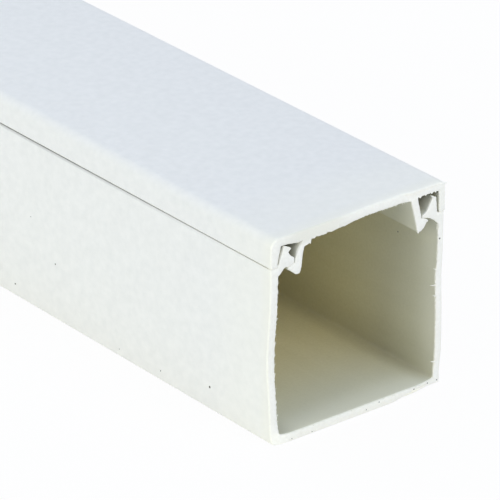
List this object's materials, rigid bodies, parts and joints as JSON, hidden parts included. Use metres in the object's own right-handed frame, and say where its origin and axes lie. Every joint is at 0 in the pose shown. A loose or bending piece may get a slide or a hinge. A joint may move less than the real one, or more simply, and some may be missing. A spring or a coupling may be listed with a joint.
{
  "type": "cable trunking",
  "caption": "Square white PVC cable trunking: an open channel that fixes to a wall and carries cables, closed by a lid that snaps onto its barbed lips.",
  "frame": {"origin": "centre of the trunking's back face, halfway along its length", "axes": "+X along the length, +Y across the width, +Z from the back face to the lid"},
  "size_m": [2, 0.04, 0.04],
  "materials": {
    "channel_pvc": "satin white extruded PVC",
    "lid_pvc": "satin white extruded PVC"
  },
  "bodies": {
    "channel": {"base_channel": "channel_pvc"},
    "lid": {"clip_lid": "lid_pvc"}
  },
  "joints": [
    {"name": "lid_slide", "type": "slide", "parent": "channel", "child": "lid", "axis": [1, 0, 0], "range_m": [-1.9, 1.9]}
  ]
}
